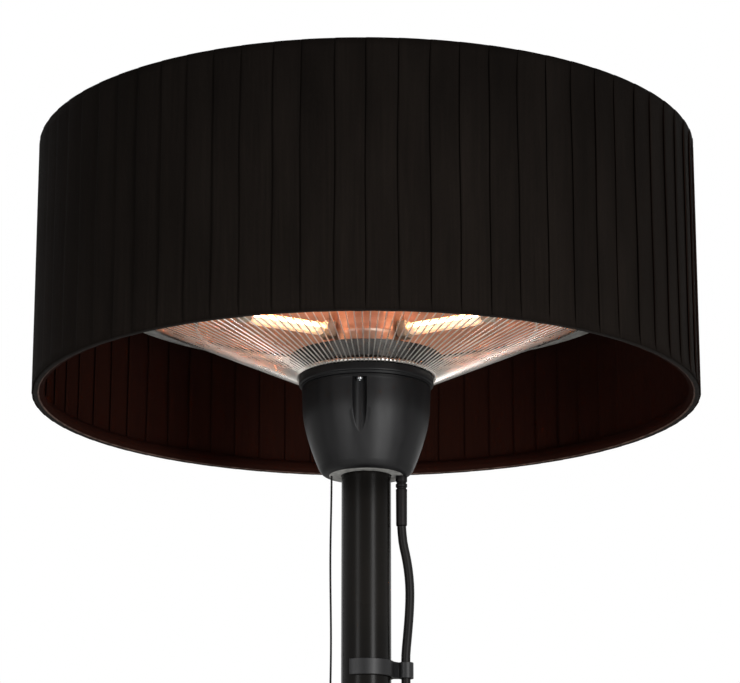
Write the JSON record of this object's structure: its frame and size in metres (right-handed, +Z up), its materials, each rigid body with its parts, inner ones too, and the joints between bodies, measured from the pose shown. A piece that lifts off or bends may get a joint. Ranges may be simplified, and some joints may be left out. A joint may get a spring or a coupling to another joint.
{
  "type": "infrared patio heater",
  "caption": "Floor-standing halogen patio heater: weighted round base, sectional pole, bell housing, conical wire grille over radial heat tubes, and a pleated drum shade.",
  "frame": {"origin": "on the floor under the middle of the base", "axes": "+Z up along the pole, -Y towards the front, where the pull cord hangs on the left and the cable on the right"},
  "size_m": [0.515, 0.6329, 2.1003],
  "materials": {
    "cast_iron_weight": "rough",
    "black_painted_steel": "satin",
    "black_rubber": "matte",
    "zinc_plated_steel": "satin",
    "black_plastic": "satin",
    "switch_plastic": "matte",
    "polished_aluminium": "polished",
    "halogen_glass": "polished",
    "ceramic": "matte",
    "chromed_wire": "polished",
    "pleated_black_fabric": "matte",
    "nylon_cord": "matte"
  },
  "bodies": {
    "frame": {"base_weight": "cast_iron_weight", "base_cover": "black_painted_steel", "rubber_foot_1": "black_rubber", "rubber_foot_2": "black_rubber", "rubber_foot_3": "black_rubber", "rubber_foot_4": "black_rubber", "pole_socket": "zinc_plated_steel", "pole_lower": "black_painted_steel", "pole_middle": "black_painted_steel", "pole_upper": "black_painted_steel", "pole_coupling_1": "zinc_plated_steel", "pole_coupling_2": "zinc_plated_steel", "cable_clip_1": "black_plastic", "cable_clip_2": "black_plastic", "cable_clip_3": "black_plastic", "bell_housing": "black_plastic", "housing_screw_1": "zinc_plated_steel", "housing_screw_2": "zinc_plated_steel", "housing_screw_3": "zinc_plated_steel", "collar_cap": "black_plastic", "chassis_plate": "zinc_plated_steel", "pull_switch_body": "switch_plastic", "tilt_switch_body": "switch_plastic", "terminal_block": "switch_plastic", "heat_dish": "polished_aluminium", "centre_post": "polished_aluminium", "halogen_tube_1": "halogen_glass", "halogen_tube_2": "halogen_glass", "halogen_tube_3": "halogen_glass", "tube_holder_1": "ceramic", "tube_holder_2": "ceramic", "tube_holder_3": "ceramic", "tube_end_cap_1": "ceramic", "tube_end_cap_2": "ceramic", "tube_end_cap_3": "ceramic", "tube_bracket_1": "zinc_plated_steel", "tube_bracket_2": "zinc_plated_steel", "tube_bracket_3": "zinc_plated_steel", "reflector": "polished_aluminium", "grille": "chromed_wire", "grille_hoop": "chromed_wire", "dome_cover": "black_painted_steel", "dome_stud": "zinc_plated_steel", "shade_carrier": "zinc_plated_steel", "shade_bottom_ring": "black_painted_steel", "shade_nut": "black_plastic", "shade_fabric": "pleated_black_fabric", "cable_boot": "black_rubber", "mains_cable": "black_rubber", "cable_coil": "black_rubber", "coil_tie": "black_plastic", "plug_body": "black_rubber", "plug_pin_1": "zinc_plated_steel", "plug_pin_2": "zinc_plated_steel"},
    "pull": {"pull_plunger": "zinc_plated_steel", "pull_cord": "nylon_cord", "pull_knob": "black_plastic"},
    "ratchet": {"ratchet_wheel": "switch_plastic"},
    "tilt_bob": {"tilt_pendulum": "zinc_plated_steel"}
  },
  "joints": [
    {"name": "pull_slide", "type": "slide", "parent": "frame", "child": "pull", "axis": [0, 0, -1], "range_m": [0, 0.008], "stiffness_N_per_m": 400, "springref_m": -0.01},
    {"name": "ratchet_turn", "type": "hinge", "parent": "frame", "child": "ratchet", "pos_m": [-0.0143, 0, 1.8977], "axis": [0, -1, 0], "range_deg": [0, 46]},
    {"name": "tilt_swing", "type": "hinge", "parent": "frame", "child": "tilt_bob", "pos_m": [0, 0.024, 1.9015], "axis": [1, 0, 0], "range_deg": [-10, 10]}
  ],
  "couplings": [
    {"joint": "ratchet_turn", "follows": "pull_slide", "rad_per_m": 98.17}
  ]
}
